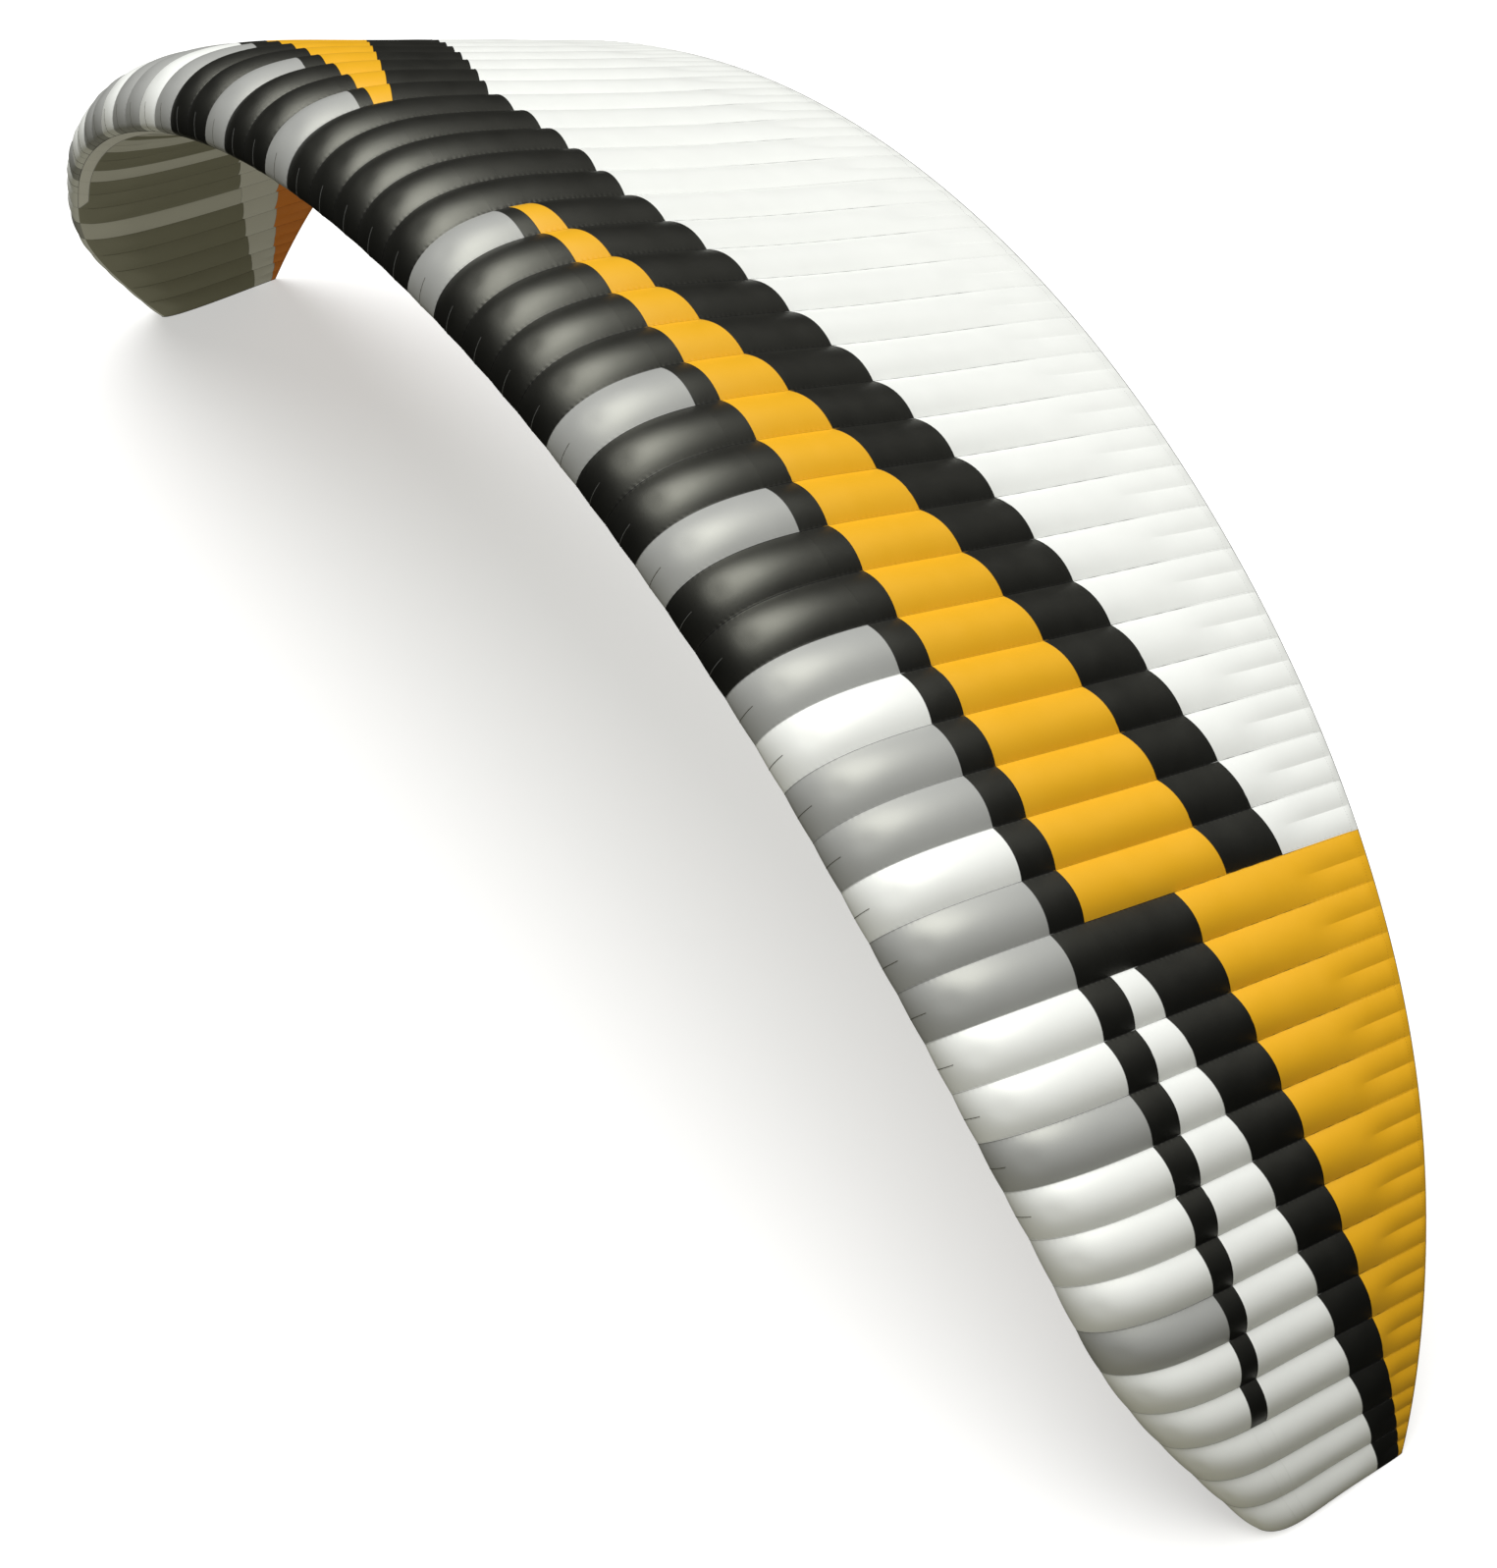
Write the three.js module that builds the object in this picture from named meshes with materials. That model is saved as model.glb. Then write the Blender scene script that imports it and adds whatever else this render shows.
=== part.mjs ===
// Inflated paraglider wing, standing on its two tips.
// Millimetres. +X runs to the right tip, -Y is the nose, +Z is up, and the
// origin lies on the ground under the middle of the whole wing.
import * as THREE from 'three';

// Driving dimensions.
const centreChord = 2370; // nose to trailing edge at the middle rib
const halfSpan = 5600; // along the curved cloth, middle rib to tip
const cellsPerHalf = 30;
const clothThickness = 2.5;
const pieceGap = 0.3; // left between neighbouring pieces
const noseUp = 5; // degrees that the middle rib is pitched up
const originBehindNose = 1179.3; // middle rib's nose to the origin, along Y

// Half the wing, as stations along its span. Chord and sweep are shares of
// the centre chord, angles are degrees. arc is how far the cloth has turned
// down, twist how far the rib is turned about a point in its front third.
const spanTable = [
  { along: 0.0, chord: 1.0, sweep: 0.0, arc: 0, twist: 0 },
  { along: 0.2, chord: 0.983, sweep: 0.01, arc: 11.65, twist: -0.1 },
  { along: 0.4, chord: 0.932, sweep: 0.037, arc: 23.1, twist: -0.3 },
  { along: 0.6, chord: 0.8435, sweep: 0.085, arc: 37.1, twist: -1.0 },
  { along: 0.75, chord: 0.7245, sweep: 0.159, arc: 50.2, twist: -1.9 },
  { along: 0.88, chord: 0.5575, sweep: 0.27, arc: 62.8, twist: -3.1 },
  { along: 1.0, chord: 0.28, sweep: 0.494, arc: 72.8, twist: -4.7 },
];
const twistPivot = 0.3;

// Seams between the panels of the upper cloth, as shares of the local chord:
// nose panels, front stripe, middle stripe, rear stripe, trailing panels.
const innerSeams = [
  { along: 0.0, noseEnd: 0.14, frontEnd: 0.165, middleEnd: 0.2, rearEnd: 0.383 },
  { along: 0.177, noseEnd: 0.175, frontEnd: 0.217, middleEnd: 0.328, rearEnd: 0.498 },
  { along: 0.354, noseEnd: 0.209, frontEnd: 0.265, middleEnd: 0.465, rearEnd: 0.618 },
  { along: 0.493, noseEnd: 0.232, frontEnd: 0.3, middleEnd: 0.575, rearEnd: 0.72 },
  { along: 0.595, noseEnd: 0.247, frontEnd: 0.325, middleEnd: 0.667, rearEnd: 0.805 },
];
const outerSeams = [
  { along: 0.595, noseEnd: 0.247, frontEnd: 0.322, middleEnd: 0.36, rearEnd: 0.538 },
  { along: 0.7, noseEnd: 0.268, frontEnd: 0.343, middleEnd: 0.447, rearEnd: 0.608 },
  { along: 0.8, noseEnd: 0.292, frontEnd: 0.357, middleEnd: 0.545, rearEnd: 0.693 },
  { along: 0.86, noseEnd: 0.3, frontEnd: 0.358, middleEnd: 0.615, rearEnd: 0.76 },
  { along: 0.92, noseEnd: 0.252, frontEnd: 0.317, middleEnd: 0.683, rearEnd: 0.832 },
  { along: 1.0, noseEnd: 0.22, frontEnd: 0.28, middleEnd: 0.807, rearEnd: 0.965 },
];
const firstOuterCell = 18;
const plainLeftCells = 5; // the left half's stripes only start beyond these

// Lower cloth: the intake band lies between these two shares of the chord,
// and ends in a point at the last open cell.
const bandStart = 0.013;
const bandEnd = 0.041;
const bandTaperFrom = 0.775;
const lastOpenCell = 23;
const bandPoint = 0.0035; // width left at the band's end

// Rib outline: height = sqrt(x) * (1 - x) * cubic blend of these four.
const upperFullness = [0.406, 0.2155, 0.097, 0.19];
const lowerFullness = [0.129, 0.07, 0.09, 0.02];

// How far a cell bellies out at its middle, as a share of its width. The
// intake band is flat; the belly grows from its two edges.
const bellyAlongTop = 0.16;
const bellyBelow = 0.07;
const topBellyFull = 0.11; // chord shares where it has its full height
const lowerBellyFull = 0.2;
const bellyAtTail = 0.03;
const bellyFadeStart = 0.6; // and where it starts to flatten again

// Over the last of the chord a short half rib splits each cell in two.
const halfRibStart = 0.735;
const halfRibFull = 0.86;
const halfRibBelly = 0.0375;

// Flats that a cell's cloth is drawn in: plain rows, and rows with half ribs.
const flatsPerCell = 2;
const flatsWithHalfRib = 4;

// Cell widths along the span, before they are scaled to the half span.
const widthGrowth = 0.11;
const widthShrink = 0.4;
const widthRegain = 0.17;
const tipCells = 2;
const tipCellShare = 0.82;

// The last stretch of the span, where the ribs turn level with the ground.
const levelFrom = 0.93;

// Spans of cells that one piece covers, from the middle outwards.
const sectors = [
  { name: 'Inner', first: 1, last: 8 },
  { name: 'Mid', first: 9, last: 17 },
  { name: 'Outer', first: firstOuterCell, last: cellsPerHalf },
];

const colours = {
  nose: 0xaaacaa,
  black: 0x30302c,
  yellow: 0xf5b92d,
  white: 0xf3f5f3,
  band: 0x91918a,
  lowerMain: 0x4a483a,
};

// Smooth curve through the rows of a table.
function readTable(rows, key, column, at, flatStart) {
  const knots = rows.map((row) => row[key]);
  const values = rows.map((row) => row[column]);
  const last = rows.length - 1;
  const slopes = new Array(rows.length).fill(0);
  const rise = (i) => (values[i + 1] - values[i]) / (knots[i + 1] - knots[i]);
  for (let i = 1; i < last; i += 1) {
    const before = knots[i] - knots[i - 1];
    const after = knots[i + 1] - knots[i];
    slopes[i] = (after * rise(i - 1) + before * rise(i)) / (before + after);
  }
  slopes[0] = flatStart ? 0 : 2 * rise(0) - slopes[1];
  slopes[last] = 2 * rise(last - 1) - slopes[last - 1];
  let i = 0;
  while (i < last - 1 && at > knots[i + 1]) i += 1;
  const step = knots[i + 1] - knots[i];
  const t = (at - knots[i]) / step;
  const t2 = t * t;
  const t3 = t2 * t;
  return (
    (2 * t3 - 3 * t2 + 1) * values[i] +
    (t3 - 2 * t2 + t) * step * slopes[i] +
    (3 * t2 - 2 * t3) * values[i + 1] +
    (t3 - t2) * step * slopes[i + 1]
  );
}

// Share of the half span at each rib, from 0 at the middle to 1 at the tip.
function placeRibs() {
  const places = [0];
  for (let cell = 1; cell <= cellsPerHalf; cell += 1) {
    const middle = (cell - 0.5) / cellsPerHalf;
    const even = 1 + widthGrowth * middle - widthShrink * middle ** 2 + widthRegain * middle ** 4;
    const width = cell > cellsPerHalf - tipCells ? even * tipCellShare : even;
    places.push(places[cell - 1] + width);
  }
  return places.map((place) => place / places[cellsPerHalf]);
}

// The arc of the span, stepped once: sideways reach and drop at each step.
function traceArc() {
  const steps = 400;
  const points = [{ x: 0, z: 0 }];
  for (let i = 1; i <= steps; i += 1) {
    const turn = THREE.MathUtils.degToRad(
      readTable(spanTable, 'along', 'arc', (i - 0.5) / steps, false),
    );
    const from = points[i - 1];
    const length = halfSpan / steps;
    points.push({ x: from.x + length * Math.cos(turn), z: from.z - length * Math.sin(turn) });
  }
  return points;
}

const ribPlaces = placeRibs();
const arcPoints = traceArc();

function arcPointAt(along) {
  const place = Math.min(along, 1) * (arcPoints.length - 1);
  const i = Math.min(Math.floor(place), arcPoints.length - 2);
  const t = place - i;
  return {
    x: THREE.MathUtils.lerp(arcPoints[i].x, arcPoints[i + 1].x, t),
    z: THREE.MathUtils.lerp(arcPoints[i].z, arcPoints[i + 1].z, t),
  };
}

function ribHeight(x, fullness) {
  const rest = 1 - x;
  const blend =
    fullness[0] * rest ** 3 +
    3 * fullness[1] * x * rest ** 2 +
    3 * fullness[2] * x ** 2 * rest +
    fullness[3] * x ** 3;
  return Math.sqrt(x) * rest * blend;
}

// Point on the rib outline in chord shares. trace runs from -1 at the lower
// trailing edge through 0 at the nose to 1 at the upper trailing edge.
function outlinePoint(trace) {
  const x = Math.min(trace * trace, 1);
  if (trace >= 0) return new THREE.Vector2(x, ribHeight(x, upperFullness));
  return new THREE.Vector2(x, -ribHeight(x, lowerFullness));
}

function outlineNormal(trace) {
  const reach = 0.001;
  const ahead = outlinePoint(Math.min(trace + reach, 1));
  const behind = outlinePoint(Math.max(trace - reach, -1));
  const run = ahead.sub(behind).normalize();
  return new THREE.Vector2(-run.y, run.x);
}

// How far the cloth bellies out of the ribs, q running 0 to 1 over a cell.
function bellyAt(cellWidth, q, trace) {
  const { smoothstep, clamp, lerp } = THREE.MathUtils;
  const x = trace * trace;
  const above = smoothstep(trace, -Math.sqrt(bandStart), Math.sqrt(topBellyFull));
  const below = smoothstep(-trace, Math.sqrt(bandEnd), Math.sqrt(lowerBellyFull));
  const fade = clamp((x - bellyFadeStart) / (1 - bellyFadeStart), 0, 1);
  const full = lerp(bellyAlongTop * above + bellyBelow * below, bellyAtTail, fade);
  const whole = full * crown(q);
  const halved = halfRibBelly * crown((2 * q) % 1);
  return cellWidth * lerp(whole, halved, smoothstep(x, halfRibStart, halfRibFull));
}

// Two flats with their ridge at the middle of a cell or half cell.
function crown(q) {
  return 1 - Math.abs(2 * q - 1);
}

// Height of the middle rib's chord line over the ground.
const noseUpAngle = THREE.MathUtils.degToRad(noseUp);
const restHeight = findRestHeight();

function pitch(y, z) {
  return {
    y: y * Math.cos(noseUpAngle) + z * Math.sin(noseUpAngle),
    z: -y * Math.sin(noseUpAngle) + z * Math.cos(noseUpAngle),
  };
}

function findRestHeight() {
  const tip = spanTable[spanTable.length - 1];
  const middleOfTip = (tip.sweep + 0.5 * tip.chord) * centreChord;
  return -pitch(middleOfTip, arcPoints[arcPoints.length - 1].z).z + clothThickness + pieceGap;
}

// A point of the right half's cloth, lifted off the rib outline.
function clothPoint(along, trace, lift) {
  const read = (column, flat) => readTable(spanTable, 'along', column, along, flat);
  const chord = read('chord', true) * centreChord;
  const sweep = read('sweep', true) * centreChord;
  const turn = THREE.MathUtils.degToRad(read('arc', false));
  const twist = THREE.MathUtils.degToRad(read('twist', true));
  const outline = outlinePoint(trace);
  const normal = outlineNormal(trace);
  const pivot = twistPivot * chord;
  const back = outline.x * chord + normal.x * lift - pivot;
  const up = outline.y * chord + normal.y * lift;
  const y = sweep + pivot + back * Math.cos(twist) + up * Math.sin(twist);
  const out = up * Math.cos(twist) - back * Math.sin(twist);
  const spine = arcPointAt(along);
  const placed = pitch(y, spine.z + out * Math.cos(turn));
  const point = new THREE.Vector3(
    spine.x + out * Math.sin(turn),
    placed.y - originBehindNose,
    placed.z + restHeight,
  );
  return levelTip(point, along, turn);
}

// Slides the last ribs along the span until the tip lies level.
function levelTip(point, along, turn) {
  const share = THREE.MathUtils.clamp((along - levelFrom) / (1 - levelFrom), 0, 1);
  if (share === 0) return point;
  const run = pitch(0, -Math.sin(turn));
  const target = clothThickness + pieceGap;
  const left = (1 - along) * halfSpan;
  const slide = ((target - (point.z + run.z * left)) / run.z) * share * share;
  point.x += slide * Math.cos(turn);
  point.y += slide * run.y;
  point.z += slide * run.z;
  return point;
}

// One closed sheet: a grid of points on the outside, the same one cloth
// thickness further in, and a rim around both.
function sheetGeometry(side, sector, startTrace, endTrace, steps, flats) {
  const positions = [];
  const indices = [];
  const columns = steps + 1;
  const alongs = spanGrid(sector, flats);
  for (const { along, cellWidth, q } of alongs) {
    const start = startTrace(along);
    const end = endTrace(along);
    for (let j = 0; j < columns; j += 1) {
      const trace = pieceTrace(along, start, end, j / steps);
      const belly = bellyAt(cellWidth, q, trace);
      for (const layer of [clothThickness, 0]) {
        const point = clothPoint(along, trace, belly + layer + pieceGap / 2);
        positions.push(point.x * side, point.y, point.z);
      }
    }
  }
  const at = (i, j, layer) => 2 * (i * columns + j) + layer;
  const quad = (a, b, c, d) => {
    if (side > 0) indices.push(a, b, c, a, c, d);
    else indices.push(a, c, b, a, d, c);
  };
  const rows = alongs.length - 1;
  for (let i = 0; i < rows; i += 1) {
    for (let j = 0; j < steps; j += 1) {
      quad(at(i, j, 0), at(i + 1, j, 0), at(i + 1, j + 1, 0), at(i, j + 1, 0));
      quad(at(i, j, 1), at(i, j + 1, 1), at(i + 1, j + 1, 1), at(i + 1, j, 1));
    }
    quad(at(i, 0, 0), at(i, 0, 1), at(i + 1, 0, 1), at(i + 1, 0, 0));
    quad(at(i, steps, 0), at(i + 1, steps, 0), at(i + 1, steps, 1), at(i, steps, 1));
  }
  for (let j = 0; j < steps; j += 1) {
    quad(at(0, j, 0), at(0, j + 1, 0), at(0, j + 1, 1), at(0, j, 1));
    quad(at(rows, j, 0), at(rows, j, 1), at(rows, j + 1, 1), at(rows, j + 1, 0));
  }
  const geometry = new THREE.BufferGeometry();
  geometry.setAttribute('position', new THREE.Float32BufferAttribute(positions, 3));
  geometry.setIndex(indices);
  return geometry;
}

// Places along the span for a sector: each rib and the flats' edges between.
function spanGrid(sector, flats) {
  const half = pieceGap / 2 / halfSpan;
  const grid = [];
  for (let cell = sector.first; cell <= sector.last; cell += 1) {
    const from = ribPlaces[cell - 1];
    const to = ribPlaces[cell];
    const cellWidth = (to - from) * halfSpan;
    for (let flat = 0; flat < flats; flat += 1) {
      const q = flat / flats;
      const inset = cell === sector.first && flat === 0 ? half : 0;
      grid.push({ along: THREE.MathUtils.lerp(from, to, q) + inset, cellWidth, q });
    }
    if (cell === sector.last) {
      const end = cell === cellsPerHalf ? 1 : to - half;
      grid.push({ along: end, cellWidth, q: 1 });
    }
  }
  return grid;
}

// Trace inside a piece, kept half a gap short of its two seams.
function pieceTrace(along, start, end, share) {
  const chord = readTable(spanTable, 'along', 'chord', along, true) * centreChord;
  const half = pieceGap / 2;
  const inset = (trace) => {
    const reach = 0.002;
    const a = outlinePoint(Math.max(trace - reach, -1));
    const b = outlinePoint(Math.min(trace + reach, 1));
    return (half * 2 * reach) / (a.distanceTo(b) * chord);
  };
  const from = start <= -1 ? -1 : start + inset(start);
  const to = end >= 1 ? 1 : end - inset(end);
  return THREE.MathUtils.lerp(from, to, share);
}

// Seam of the upper cloth. The left half's inner stripes start some cells
// out and reach the same places as the right half's at the last inner rib.
function upperSeam(side, sector, column, along) {
  if (sector.first >= firstOuterCell) {
    return readTable(outerSeams, 'along', column, along, false);
  }
  if (side > 0) return readTable(innerSeams, 'along', column, along, false);
  const start = ribPlaces[plainLeftCells];
  const end = ribPlaces[firstOuterCell - 1];
  const moved = Math.max(((along - start) / (end - start)) * end, 0);
  return readTable(innerSeams, 'along', column, moved, false);
}

function bandEndAt(along) {
  const end = ribPlaces[lastOpenCell];
  if (along > end) return bandStart;
  const taper = THREE.MathUtils.clamp((along - bandTaperFrom) / (end - bandTaperFrom), 0, 1);
  return THREE.MathUtils.lerp(bandEnd, bandStart + bandPoint, taper);
}

// The rows of panels: five over the top from the nose, then four below.
function panelRows(side, sector) {
  const inboard = sector.first < firstOuterCell;
  const above = (column) => (along) => Math.sqrt(upperSeam(side, sector, column, along));
  const below = (column) => (along) => -Math.sqrt(upperSeam(side, sector, column, along));
  const nose = () => -Math.sqrt(bandStart);
  const bandRear = (along) => -Math.sqrt(bandEndAt(along));
  const upperTail = () => 1;
  const lowerTail = () => -1;
  const bandSector = { ...sector, last: Math.min(sector.last, lastOpenCell) };
  const middleColour = inboard ? colours.yellow : colours.white;
  const tailColour = inboard ? colours.white : colours.yellow;
  const row = (name, start, end, steps, colour, flats = flatsPerCell, cells = sector) => {
    return { name, start, end, steps, colour, flats, cells };
  };
  return [
    row('nosePanels', nose, above('noseEnd'), 5, colours.nose),
    row('frontStripe', above('noseEnd'), above('frontEnd'), 1, colours.black),
    row('middleStripe', above('frontEnd'), above('middleEnd'), 2, middleColour),
    row('rearStripe', above('middleEnd'), above('rearEnd'), 1, colours.black),
    row('trailingPanels', above('rearEnd'), upperTail, 2, tailColour, flatsWithHalfRib),
    row('intakeBand', bandRear, nose, 1, colours.band, flatsPerCell, bandSector),
    row('lowerPanels', below('middleEnd'), bandRear, 3, colours.lowerMain),
    row('lowerStripe', below('rearEnd'), below('middleEnd'), 1, colours.band),
    row('lowerTrailing', lowerTail, below('rearEnd'), 2, tailColour, flatsWithHalfRib),
  ];
}

function cloth(colour) {
  return new THREE.MeshStandardMaterial({ color: colour, roughness: 0.45, metalness: 0 });
}

// Flat closing panel of a wing tip, lying on the ground.
function tipPanel(side) {
  const points = [];
  const traces = [-1, -0.85, -0.6, -0.35, -0.15, 0, 0.2, 0.4, 0.6, 0.8, 1];
  for (const trace of traces) {
    const point = clothPoint(1, trace, clothThickness);
    points.push(new THREE.Vector2(point.x * side, point.y));
  }
  return new THREE.ExtrudeGeometry(new THREE.Shape(points), {
    depth: clothThickness,
    steps: 1,
    bevelEnabled: false,
  });
}

function buildWing() {
  const wing = new THREE.Group();
  const halves = [
    { name: 'right', side: 1 },
    { name: 'left', side: -1 },
  ];
  for (const half of halves) {
    for (const sector of sectors) {
      for (const row of panelRows(half.side, sector)) {
        const { cells, start, end, steps, flats } = row;
        const geometry = sheetGeometry(half.side, cells, start, end, steps, flats);
        const mesh = new THREE.Mesh(geometry, cloth(row.colour));
        mesh.name = `${half.name}${sector.name}_${row.name}`;
        wing.add(mesh);
      }
    }
    const tip = new THREE.Mesh(tipPanel(half.side), cloth(colours.black));
    tip.name = `${half.name}Tip_closingPanel`;
    wing.add(tip);
  }
  return wing;
}

export default buildWing();
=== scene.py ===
import math
import bpy
import numpy as np
from mathutils import Euler, Matrix, Vector


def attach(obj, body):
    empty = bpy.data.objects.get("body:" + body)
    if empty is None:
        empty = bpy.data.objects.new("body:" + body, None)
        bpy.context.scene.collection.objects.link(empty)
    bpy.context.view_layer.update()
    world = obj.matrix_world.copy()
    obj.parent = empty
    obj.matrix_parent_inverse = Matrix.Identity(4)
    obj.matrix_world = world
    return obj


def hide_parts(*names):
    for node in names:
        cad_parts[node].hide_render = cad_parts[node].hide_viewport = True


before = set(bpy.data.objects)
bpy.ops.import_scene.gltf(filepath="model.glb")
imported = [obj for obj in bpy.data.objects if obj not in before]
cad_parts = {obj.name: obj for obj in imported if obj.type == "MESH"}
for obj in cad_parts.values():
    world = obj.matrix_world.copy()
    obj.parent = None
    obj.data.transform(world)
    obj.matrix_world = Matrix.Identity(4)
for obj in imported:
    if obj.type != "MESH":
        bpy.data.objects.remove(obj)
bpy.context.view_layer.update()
print("frame loaded:", len(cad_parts), "nodes")

# Metres throughout. +X runs to the right tip, -Y is the nose, +Z is up.

wingPlan = {
    "centreChord": 2.370,  # nose to trailing edge at the middle rib
    "halfSpan": 5.600,  # along the curved cloth, middle rib to tip
    "cellsPerHalf": 30,
    "clothThickness": 0.0025,
    "pieceGap": 0.0003,
    "noseUp": 5.0,  # degrees
    "originBehindNose": 1.1793,
    "twistPivot": 0.3,  # where along the chord the twist turns
    "levelFrom": 0.93,  # the last ribs turn level with the ground from here
    "upperFullness": (0.406, 0.2155, 0.097, 0.19),  # the rib's outline, nose to tail
    "lowerFullness": (0.129, 0.07, 0.09, 0.02),
    "widthGrowth": 0.11,  # how the width of a cell changes along the span
    "widthShrink": 0.4,
    "widthRegain": 0.17,
    "tipCells": 2,
    "tipCellShare": 0.82,  # the tip cells' width, as a share of what it would be
    "arcSteps": 400,
    "slopeStep": 0.001,  # steps in trace over which slopes and lengths are taken
    "seamStep": 0.002,
    "stepsPerCell": 12,  # columns of the mesh across one cell
}

# Half the wing as stations along its span. Chord and sweep are shares of the
# centre chord, arc and twist are degrees.
spanStations = {
    "along": (0.0, 0.2, 0.4, 0.6, 0.75, 0.88, 1.0),
    "chord": (1.0, 0.983, 0.932, 0.8435, 0.7245, 0.5575, 0.28),
    "sweep": (0.0, 0.01, 0.037, 0.085, 0.159, 0.27, 0.494),
    "arc": (0.0, 11.65, 23.1, 37.1, 50.2, 62.8, 72.8),
    "twist": (0.0, -0.1, -0.3, -1.0, -1.9, -3.1, -4.7),
}

# Where the panels of the upper cloth meet, as shares of the local chord.
innerSeams = {
    "along": (0.0, 0.177, 0.354, 0.493, 0.595),
    "noseEnd": (0.14, 0.175, 0.209, 0.232, 0.247),
    "frontEnd": (0.165, 0.217, 0.265, 0.3, 0.325),
    "middleEnd": (0.2, 0.328, 0.465, 0.575, 0.667),
    "rearEnd": (0.383, 0.498, 0.618, 0.72, 0.805),
}
outerSeams = {
    "along": (0.595, 0.7, 0.8, 0.86, 0.92, 1.0),
    "noseEnd": (0.247, 0.268, 0.292, 0.3, 0.252, 0.22),
    "frontEnd": (0.322, 0.343, 0.357, 0.358, 0.317, 0.28),
    "middleEnd": (0.36, 0.447, 0.545, 0.615, 0.683, 0.807),
    "rearEnd": (0.538, 0.608, 0.693, 0.76, 0.832, 0.965),
}

seamPlan = {
    "firstOuterCell": 18,
    "plainLeftCells": 5,  # the left half's stripes only start beyond these
    "bandStart": 0.013,  # the intake band, in shares of the chord
    "bandEnd": 0.041,
    "bandTaperFrom": 0.775,  # the band narrows from here along the half span
    "lastOpenCell": 23,
    "bandPoint": 0.0035,  # and is this wide where it ends
    "lowerStep": 0.35,  # how far each cell's lower panels end square to it
}

bellyPlan = {
    "alongTop": 0.16,  # how far a cell bulges, as a share of its width
    "below": 0.07,
    "atTail": 0.03,
    "topFull": 0.11,  # chord shares where the bulge has its full height
    "lowerFull": 0.2,
    "fadeStart": 0.6,
    "halfRibStart": 0.79,  # the short half ribs begin here along the chord
    "halfRibFull": 0.92,
    "halfRibBelly": 0.038,
    "halfRibSharpFrom": 0.83,  # the crease over a half rib is sharp from here
    "closeFrom": 0.988,  # the skins come together over the last of the chord
    "dartTrough": 0.004,
    "dartTroughAt": 0.04,
    "dartTroughReach": 0.013,
    "dartTroughSide": 0.2,  # its reach across the cell, as a share of the width
}

# Cells are counted from the middle. Every cell not named here is black in
# its nose up to the last black one, and white beyond.
dyePlan = {
    "greyNoses": (1, 6, 9, 12, 14, 15, 17, 18, 21, 25),
    "lastBlackNose": 11,
    "whiteStripeFrom": 28,  # from this cell the front stripe is white too
    "grey": (0.65, 0.655, 0.65),
    "black": (0.03, 0.03, 0.028),
    "yellow": (0.935, 0.695, 0.02),
    "white": (0.952, 0.96, 0.952),
    "band": (0.97, 0.97, 0.96),
    "paleLower": (0.85, 0.85, 0.82),
    "darkLower": (0.56, 0.555, 0.48),
    "stripeLower": (0.9, 0.9, 0.88),
    # painted shade: the outer lower trailing panels are the tail's yellow cloth, dyed the deeper
    # orange it shows in shade
    "shadedTailYellow": (0.98, 0.55, 0.0),
}

sectorCells = {"Inner": (1, 8), "Mid": (9, 17), "Outer": (18, 30)}
cellsPerHalf = wingPlan["cellsPerHalf"]
halfSpan = wingPlan["halfSpan"]
centreChord = wingPlan["centreChord"]
clothThickness = wingPlan["clothThickness"]
halfGap = wingPlan["pieceGap"] / 2
tipTop = clothThickness + 2 * halfGap  # the last rib stands on the tip's closing panel
fineness = 1.0


cameraPlan = {
    "place": (9.437, -6.201, 9.796),
    "yaw": 54.7,  # this and the next two in degrees
    "pitch": -40.774,
    "roll": 3.62,
    "lens": 82.41,
    "sensorWidth": 36.0,
    "clipEnd": 200.0,
}


def makeCamera():
    plan = cameraPlan
    camera = bpy.data.objects.new("camera", bpy.data.cameras.new("camera"))
    aim = Euler((math.radians(90 + plan["pitch"]), 0, math.radians(plan["yaw"])))
    turn = aim.to_matrix() @ Matrix.Rotation(math.radians(plan["roll"]), 3, "Z")
    camera.matrix_world = Matrix.Translation(plan["place"]) @ turn.to_4x4()
    camera.data.sensor_fit = "HORIZONTAL"
    camera.data.sensor_width = plan["sensorWidth"]
    camera.data.lens = plan["lens"]
    camera.data.clip_end = plan["clipEnd"]
    bpy.context.scene.collection.objects.link(camera)
    bpy.context.scene.camera = camera


studioPlan = {
    "floorReach": 36.0,  # the flat round floor, before it sweeps up into a wall
    "sweepRadius": 10.0,
    "sweepSteps": 16,
    "wallTop": 60.0,
    "wallSides": 96,
    "floorColour": (0.6, 0.6, 0.6),
    "floorGlow": 0.5,  # lifts the floor's own shadows
    "floorRoughness": 0.9,
    "skyColour": (1.0, 0.965, 0.74),
    "skyStrength": 0.145,
    "sunStrength": 3.58,
    "sunAngle": 56.0,  # degrees across, so its shadows stay soft
    "sunFrom": (-0.03, -0.15, 0.99),
    "fillStrength": 0.42,  # light that a pale floor would throw back up
    "fillColour": (1.0, 0.965, 0.8),
    "fillAngle": 70.0,
    "fillFrom": (0.35, -0.3, -0.89),
}


def makeSun(name, strength, angle, comesFrom, colour=(1, 1, 1)):
    sun = bpy.data.objects.new(name, bpy.data.lights.new(name, "SUN"))
    sun.data.energy = strength
    sun.data.angle = math.radians(angle)
    sun.data.color = colour
    sun.rotation_euler = Vector(comesFrom).to_track_quat("Z", "Y").to_euler()
    bpy.context.scene.collection.objects.link(sun)


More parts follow.
